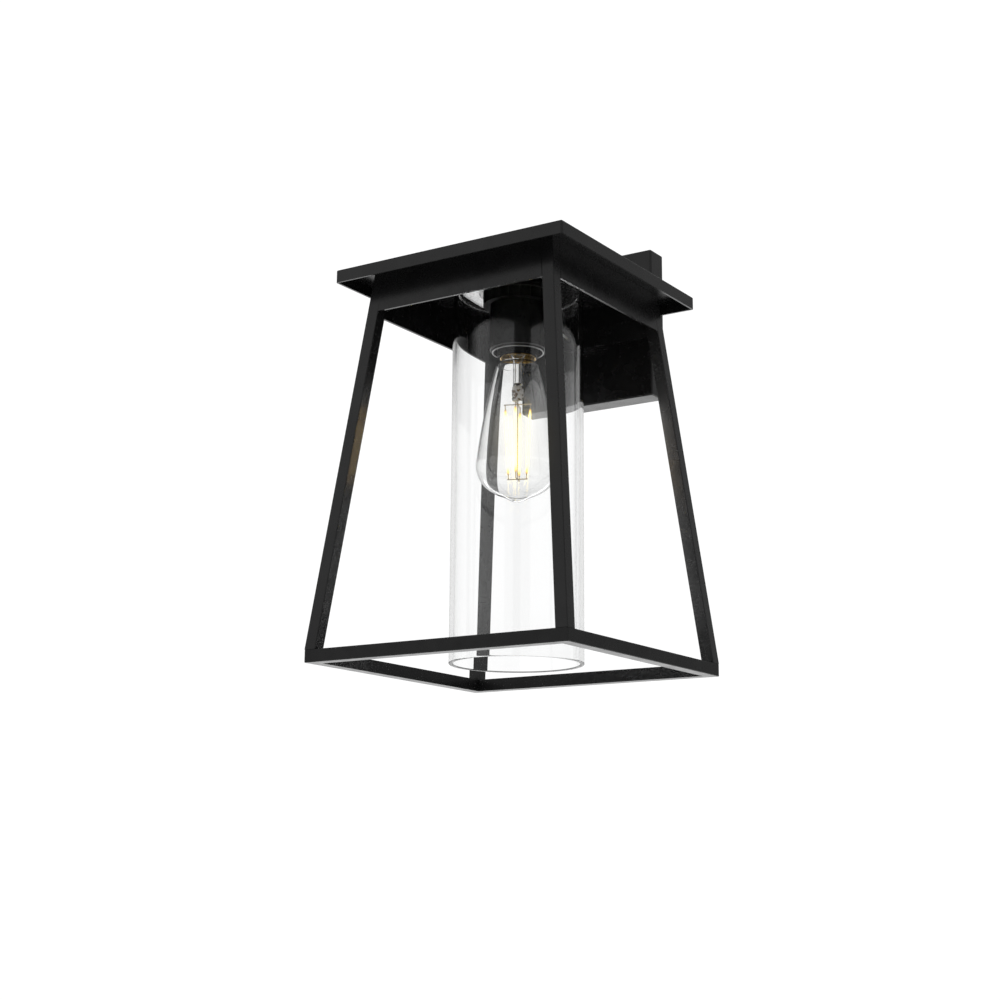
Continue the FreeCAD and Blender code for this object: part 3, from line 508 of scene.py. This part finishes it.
def make_cap():
    """The rolled brass screw cap, with one right-handed thread over a plain skirt and a rolled lip."""
    low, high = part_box("bulb_cap")
    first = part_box("bulb_contact")[1].z - 6.0 * MM
    root, crest, skirt = 12.3 * MM, 13.0 * MM, 13.1 * MM
    pitch = 3.63 * MM
    turns = 5
    sheet = 0.5 * MM
    run_out = 1.5 * MM
    shoulder = 1.2 * MM
    roll_out, roll_top, roll_height = 0.9 * MM, 1.6 * MM, 1.1 * MM
    mouth = 10.0 * MM
    inner_top = high.z - 1.3 * MM
    count = 96
    rows = 110
    last = first - turns * pitch

    def radius(z, angle):
        ridge = 0.5 + 0.5 * math.cos(2 * math.pi * (z / pitch - angle / (2 * math.pi)))
        fade = clamp((first - z) / run_out) * clamp((z - last) / run_out)
        plain = root + (skirt - root) * clamp((last + run_out - z) / run_out)
        rounding = max(z - (high.z - shoulder), 0.0)
        roll = roll_out * clamp((low.z + roll_top - z) / roll_height) ** 2
        return max(plain, root + (crest - root) * ridge * fade) - rounding + roll

    def rings(inset):
        loops = []
        for i in range(rows + 1):
            z = low.z + (high.z - low.z) * i / rows
            loop = []
            for k in range(count):
                angle = 2 * math.pi * k / count
                r = radius(z, angle) - inset
                loop.append((AXIS_X + r * math.cos(angle), AXIS_Y + r * math.sin(angle), z))
            loops.append(loop)
        return loops

    loops = rings(0.0) + [circle(mouth, high.z, count), circle(mouth, high.z - sheet, count)]
    loops += [loop for loop in reversed(rings(sheet)) if loop[0][2] < inner_top]
    form = bmesh.new()
    sweep_rings(form, loops, closed=True)
    add_piece("bulb_screw_cap", form, cap_brass, "bulb", "bulb_cap", 50.0)


def make_stem_tube():
    """The stem's flare, sealed into the neck, and the tube down to its pinch."""
    low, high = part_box("bulb_stem")
    wall = 1.0 * MM
    flare = 11.4 * MM
    seal_width, curve_width = flare * 0.97, flare * 0.95
    curve_power = 2.2
    flare_start = high.z - 1.2 * MM
    flare_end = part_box("bulb_cap")[0].z - 4.0 * MM
    pinch_top = low.z + STEM_PINCH
    tube_end, hollow_end = pinch_top + 1.0 * MM, pinch_top + 2.5 * MM
    steps = 12
    facets = 48
    outside = [(flare, high.z), (seal_width, flare_start)]
    for i in range(1, steps):
        share = i / steps
        outside.append((STEM_TUBE + (curve_width - STEM_TUBE) * (1 - share) ** curve_power,
                        flare_start + (flare_end - flare_start) * share))
    outside += [(STEM_TUBE, flare_end), (STEM_TUBE, tube_end)]
    inside = [(r - wall, z) for r, z in outside]
    inside[-1] = (STEM_TUBE - wall, hollow_end)
    end = [(STEM_TUBE * 0.5, pinch_top + 0.4 * MM), (STEM_TUBE * 0.3, pinch_top + 1.2 * MM)]
    form = bmesh.new()
    loops = [circle(r, z, facets) for r, z in outside + end + inside[::-1]]
    sweep_rings(form, loops, closed=True)
    add_piece("stem_tube", form, stem_glass, "bulb", "bulb_stem")


def make_stem_pinch():
    """The flat lumpy pinch where the stem grips the wires."""
    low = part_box("bulb_stem")[0]
    pinch_top = low.z + STEM_PINCH
    width, depth = 5.3 * MM, 1.8 * MM
    narrowing = 0.12
    lumpiness = 0.14
    square = 0.6
    facets = 40
    layers = 14
    loops = []
    for i in range(layers + 1):
        share = i / layers
        z = pinch_top - (pinch_top - low.z) * share
        half_width = STEM_TUBE + (width - STEM_TUBE) * min(share * 3.0, 1.0)
        half_width *= 1.0 - narrowing * share ** 6
        half_depth = STEM_TUBE + (depth - STEM_TUBE) * min(share * 2.5, 1.0)
        loop = []
        for k in range(facets):
            angle = 2 * math.pi * k / facets
            across, along = math.cos(angle), math.sin(angle)
            wave = math.sin(5 * angle + 9 * share) * math.sin(17 * share)
            lump = 1.0 - lumpiness * (0.5 + 0.5 * wave) * share
            loop.append((AXIS_X + half_width * lump * math.copysign(abs(across) ** square, across),
                         AXIS_Y + half_depth * lump * math.copysign(abs(along) ** square, along), z))
        loops.append(loop)
    form = bmesh.new()
    capped_sweep(form, loops)
    add_piece("stem_pinch", form, pinch_glass, "bulb")


def filament_lines():
    """The foot and the head of each filament: they lean in towards their feet."""
    low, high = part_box("bulb_filaments")
    first_turn, count = 22.0, 4
    foot_reach, head_reach = 7.0 * MM, 10.0 * MM
    lines = []
    for i in range(count):
        turn = math.radians(first_turn + 360.0 / count * i)
        out = Vector((math.cos(turn), math.sin(turn), 0.0))
        foot = Vector((AXIS_X, AXIS_Y, low.z)) + out * foot_reach
        head = Vector((AXIS_X, AXIS_Y, high.z)) + out * head_reach
        lines.append((foot, head))
    return lines


def make_filaments():
    """Four phosphor-coated strips, each with a metal tab at both ends."""
    coat = bmesh.new()
    tabs = bmesh.new()
    layers = 60
    facets = 16
    end_radius, swell, ripple = 0.62 * MM, 0.22 * MM, 0.04 * MM
    ripples = 28
    overlap = 0.5 * MM
    tab_half, tab_thin = 0.5 * MM, 0.15 * MM
    tab_shares = (1.0, 0.7, 0.7, 0.7, 1.0)
    for foot, head in filament_lines():
        bottom, top = foot.z, head.z
        start, stop = bottom + FILAMENT_TAB, top - FILAMENT_TAB
        loops = []
        for i in range(layers + 1):
            share = i / layers
            blunt = min(min(share, 1.0 - share) * layers / 2.0, 1.0)
            wave = math.cos(2 * math.pi * share * ripples)
            radius = end_radius + swell * math.sqrt(blunt) + ripple * wave
            z = start + (stop - start) * share
            spot = foot.lerp(head, (z - bottom) / (top - bottom))
            loops.append(circle(radius, z, facets, spot.x, spot.y))
        capped_sweep(coat, loops)
        for tab_low, tab_high in ((bottom, start + overlap), (stop - overlap, top)):
            rings = []
            for k, share in enumerate(tab_shares):
                z = tab_low + (tab_high - tab_low) * k / (len(tab_shares) - 1)
                spot = foot.lerp(head, (z - bottom) / (top - bottom))
                half = tab_half * share
                rings.append([(spot.x - half, spot.y - tab_thin, z), (spot.x + half, spot.y - tab_thin, z),
                              (spot.x + half, spot.y + tab_thin, z), (spot.x - half, spot.y + tab_thin, z)])
            capped_sweep(tabs, rings)
    add_piece("filament_coats", coat, filament_glow, "bulb", "bulb_filaments")
    add_piece("filament_tabs", tabs, wire_metal, "bulb")


def make_connectors():
    """Two twist-on wire connectors: ribbed cones with a flared mouth round each lead."""
    low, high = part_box("wire_connectors")
    mouth = 4.5 * MM
    from_end = 4.6 * MM
    tip, widening, flare = 2.3 * MM, 1.2 * MM, 5.0 * MM
    flare_start = 0.8
    ribs = 12
    rib_depth = 0.35 * MM
    tip_rounding = 0.6 * MM
    rise = 12.0
    bore = ((3.6 * MM, 0.0), (1.35 * MM, 2.2 * MM), (1.3 * MM, 3.0 * MM))
    count = 72
    layers = 24
    y = (low.y + high.y) / 2
    form = bmesh.new()
    for x in (low.x + from_end, high.x - from_end):
        loops = []
        for i in range(layers + 1):
            share = i / layers
            z = low.z + (high.z - low.z) * share
            radius = tip + widening * share + flare * max(share - flare_start, 0.0)
            radius -= tip_rounding * clamp(1.0 - share * rise)
            rib = rib_depth * clamp(min(share, flare_start - share) * rise)
            loop = []
            for k in range(count):
                angle = 2 * math.pi * k / count
                r = min(radius + rib * (0.5 + 0.5 * math.cos(ribs * angle)), mouth)
                loop.append((x + r * math.cos(angle), y + r * math.sin(angle), z))
            loops.append(loop)
        loops += [circle(r, high.z - depth, count, x, y) for r, depth in bore]
        capped_sweep(form, loops)
    add_piece("connector_caps", form, connector_orange, "fixture", "wire_connectors")


make_shade()
make_bulb()
make_cap()
make_stem_tube()
make_stem_pinch()
make_filaments()
make_connectors()


# Floor and studio

def make_floor():
    material, tree, shader = new_material("pale_floor")
    tree.links.new(tint(tree, noise(tree, 0.8), grey(0.93), grey(0.95)), shader.inputs["Base Color"])
    shader.inputs["Roughness"].default_value = 0.7
    shader.inputs["Specular IOR Level"].default_value = 0.1
    mesh = bpy.data.meshes.new("floor")
    side = 1.3
    drop = 0.75
    z = cad_low.z - drop
    corners = [(-side, -side, z), (side, -side, z), (side, side, z), (-side, side, z)]
    mesh.from_pydata(corners, [], [(0, 1, 2, 3)])
    floor = bpy.data.objects.new("floor", mesh)
    floor.data.materials.append(material)
    scene.collection.objects.link(floor)


# The studio's places are directions: z is a direction's height, from -1 to 1, and angle its turn from +X

WHITE = 1.05
STUDIO_DARK_SIDE = (0.54, 0.84, 0.0)
GAP_MIDDLE = math.radians(-49.2)
GAP_HALF = math.radians(14.9)
GAP_DIM = 0.1
BOX_LEFT_END = math.radians(-143.0)
BOX_REAR_END = math.radians(150.0)
BOX_TOP = 0.31
BOX_DIM = 0.25
CEILING = 1.6
LOW_BOX = 3.0
BELOW = 1.9


def about(middle, half):
    return middle - half, middle + half


def light_boxes(tree, z, angle, path):
    """Brightness in clear glass: two large light boxes beside the camera, with a dark gap between them."""
    from_gap = worked(tree, "ABSOLUTE", worked(tree, "SUBTRACT", angle, GAP_MIDDLE))
    gap = spread(tree, from_gap, GAP_DIM, 1.0, *about(GAP_HALF, 0.02))
    ends = product(tree, spread(tree, angle, BOX_DIM, 1.0, *about(BOX_LEFT_END, 0.08)),
                   spread(tree, angle, 1.0, BOX_DIM, *about(BOX_REAR_END, 0.15)))
    ends = larger(tree, ends, spread(tree, z, 1.0, 0.0, BOX_TOP - 0.025, BOX_TOP - 0.008))
    above = larger(tree, spread(tree, z, 1.0, BOX_DIM, *about(BOX_TOP, 0.004)),
                   spread(tree, z, BOX_DIM, CEILING, 0.44, 0.54))
    top_edge = spread(tree, z, 1.05, 0.7, BOX_TOP - 0.06, BOX_TOP - 0.02)
    right_foot = larger(tree, spread(tree, angle, 1.0, 0.0, *about(GAP_MIDDLE, 0.05)),
                        spread(tree, angle, 0.0, 1.0, 0.6, 0.9), spread(tree, z, 0.2, 1.0, 0.13, 0.16))
    low_box = product(tree, spread(tree, z, 0.0, 1.0, -0.42, -0.38), spread(tree, z, 1.0, 0.0, -0.27, -0.2),
                      spread(tree, angle, 0.0, 1.0, 1.4, 1.6), spread(tree, angle, 1.0, 0.0, 2.8, 3.0))
    through_bulb = worked(tree, "GREATER_THAN", path.outputs["Transmission Depth"], 6.5)
    underneath = mixed(tree, through_bulb, spread(tree, low_box, 1.0, LOW_BOX, 0.0, 1.0),
                       spread(tree, z, 0.35, 1.0, -0.27, -0.1), "FLOAT")
    return product(tree, gap, ends, above, top_edge, right_foot, underneath)


def soft_walls(tree, z, where):
    """Brightness on the satin black: brightest underneath, and dimmer overhead and towards the wall."""
    side = tree.nodes.new("ShaderNodeVectorMath")
    side.operation = "DOT_PRODUCT"
    side.inputs[1].default_value = STUDIO_DARK_SIDE
    tree.links.new(where, side.inputs[0])
    overhead = spread(tree, z, 1.25, 0.7, 0.25, 0.65)
    dark_side = spread(tree, side.outputs["Value"], 1.0, 0.45, 0.3, 0.85)
    low_walls = larger(tree, spread(tree, z, 0.9, 0.5, 0.0, 0.1), spread(tree, z, 0.5, 1.0, 0.16, 0.25))
    from_below = spread(tree, z, BELOW, 0.0, -0.14, -0.05)
    return larger(tree, product(tree, overhead, dark_side, low_walls), from_below)


def make_world():
    """A white studio: plain white behind the lantern, and light boxes and soft walls in its reflections."""
    world = bpy.data.worlds.new("white_studio")
    world.use_nodes = True
    tree = world.node_tree
    white = tree.nodes["Background"]
    white.inputs["Color"].default_value = (*grey(1.0), 1.0)
    white.inputs["Strength"].default_value = WHITE
    where = tree.nodes.new("ShaderNodeTexCoord").outputs["Generated"]
    parts = tree.nodes.new("ShaderNodeSeparateXYZ")
    tree.links.new(where, parts.inputs["Vector"])
    z = parts.outputs["Z"]
    angle = worked(tree, "ARCTAN2", parts.outputs["Y"], parts.outputs["X"])
    path = tree.nodes.new("ShaderNodeLightPath")
    strength = mixed(tree, path.outputs["Is Singular Ray"], soft_walls(tree, z, where),
                     light_boxes(tree, z, angle, path), "FLOAT")
    mirrored_twice = product(tree, worked(tree, "GREATER_THAN", path.outputs["Glossy Depth"], 1.5),
                             worked(tree, "GREATER_THAN", path.outputs["Transmission Depth"], 3.5))
    walls = tree.nodes.new("ShaderNodeBackground")
    tree.links.new(product(tree, strength, spread(tree, mirrored_twice, 1.0, 0.25, 0.0, 1.0)),
                   walls.inputs["Strength"])
    mix = tree.nodes.new("ShaderNodeMixShader")
    tree.links.new(worked(tree, "MINIMUM", path.outputs["Glossy Depth"], 1.0), mix.inputs["Fac"])
    tree.links.new(white.outputs["Background"], mix.inputs[1])
    tree.links.new(walls.outputs["Background"], mix.inputs[2])
    tree.links.new(mix.outputs["Shader"], tree.nodes["World Output"].inputs["Surface"])
    scene.world = world


# Lamps

def area_light(name, spot, ahead, size, power, colour=grey(1.0)):
    """A rectangular lamp that faces one way."""
    light = bpy.data.lights.new(name, "AREA")
    light.shape = "RECTANGLE"
    light.size, light.size_y = size
    light.energy = power
    light.color = colour
    lamp = bpy.data.objects.new(name, light)
    lamp.location = spot
    lamp.rotation_euler = ahead.to_track_quat("-Z", "Y").to_euler()
    scene.collection.objects.link(lamp)
    return lamp


def glass_light(name, turn, z, size, power, colour):
    """A strip just outside the shade: light that the bulb, or the bright glass, throws on a leg."""
    low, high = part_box("glass_shade")
    off_glass = 5.0 * MM
    away = Vector((math.cos(turn), math.sin(turn), 0.0))
    spot = Vector((AXIS_X, AXIS_Y, z)) + away * ((high.x - low.x) / 2 + off_glass)
    lamp = area_light(name, spot, away, size, power, colour)
    lamp.visible_camera = False
    lamp.visible_transmission = False


BULB_WARM = (1.0, 0.70, 0.38)
GLASS_WHITE = grey(1.0)
BULB_HEIGHT = -0.119
BULB_STRIP = (0.01, 0.06)
LEFT_LEG = math.radians(-135.0)
RIGHT_LEG = math.radians(32.0)


def make_lamps():
    key_spot = Vector((-1.1, -1.9, 0.9))
    lantern_middle = Vector((AXIS_X, AXIS_Y, -0.12))
    area_light("key_light", key_spot, lantern_middle - key_spot, (1.0, 1.0), 1.0)
    floor_spot = Vector((0.0, 0.0, cad_low.z - 0.25))
    area_light("floor_light", floor_spot, Vector((0.0, 0.0, -1.0)), (3.0, 3.0), 4.0)
    glass_light("bulb_light_left", LEFT_LEG, BULB_HEIGHT, BULB_STRIP, 0.007, BULB_WARM)
    glass_light("bulb_light_right", RIGHT_LEG, BULB_HEIGHT, BULB_STRIP, 0.0195, BULB_WARM)
    glass_light("glass_light_left", LEFT_LEG, -0.165, (0.02, 0.19), 0.007, GLASS_WHITE)
    glass_light("glass_light_right", RIGHT_LEG, -0.1675, (0.02, 0.185), 0.074, GLASS_WHITE)


# Camera, fitted to the corners of the roof and the ring in the photo

CAMERA_SPOT = Vector((0.73741, -1.27474, -0.46420))
CAMERA_AZIMUTH = math.radians(33.2321)
CAMERA_PITCH = math.radians(12.4913)
CAMERA_ROLL = math.radians(0.4135)
CAMERA_LENS = 65.81


def make_camera():
    ahead = Vector((-math.sin(CAMERA_AZIMUTH) * math.cos(CAMERA_PITCH),
                    math.cos(CAMERA_AZIMUTH) * math.cos(CAMERA_PITCH), math.sin(CAMERA_PITCH)))
    level = Vector((math.cos(CAMERA_AZIMUTH), math.sin(CAMERA_AZIMUTH), 0.0))
    upward = level.cross(ahead)
    right = level * math.cos(CAMERA_ROLL) + upward * math.sin(CAMERA_ROLL)
    up = upward * math.cos(CAMERA_ROLL) - level * math.sin(CAMERA_ROLL)
    data = bpy.data.cameras.new("camera")
    data.sensor_width = 36.0
    data.lens = CAMERA_LENS
    camera = bpy.data.objects.new("camera", data)
    turn = Matrix((right, up, -ahead)).transposed().to_4x4()
    camera.matrix_world = Matrix.Translation(CAMERA_SPOT) @ turn
    scene.collection.objects.link(camera)
    scene.camera = camera


def make_glow():
    """A little bloom round what is brighter than white, which is the lit filaments."""
    scene.use_nodes = True
    tree = scene.node_tree
    tree.nodes.clear()
    layers = tree.nodes.new("CompositorNodeRLayers")
    glare = tree.nodes.new("CompositorNodeGlare")
    glare.glare_type = "BLOOM"
    glare.inputs["Threshold"].default_value = 1.15
    glare.inputs["Strength"].default_value = 0.5
    glare.inputs["Size"].default_value = 0.04
    result = tree.nodes.new("CompositorNodeComposite")
    tree.links.new(layers.outputs["Image"], glare.inputs["Image"])
    tree.links.new(glare.outputs["Image"], result.inputs["Image"])


make_floor()
make_world()
make_camera()
make_lamps()
make_glow()
scene.view_settings.view_transform = "Standard"
scene.cycles.max_bounces = 24
scene.cycles.transmission_bounces = 24
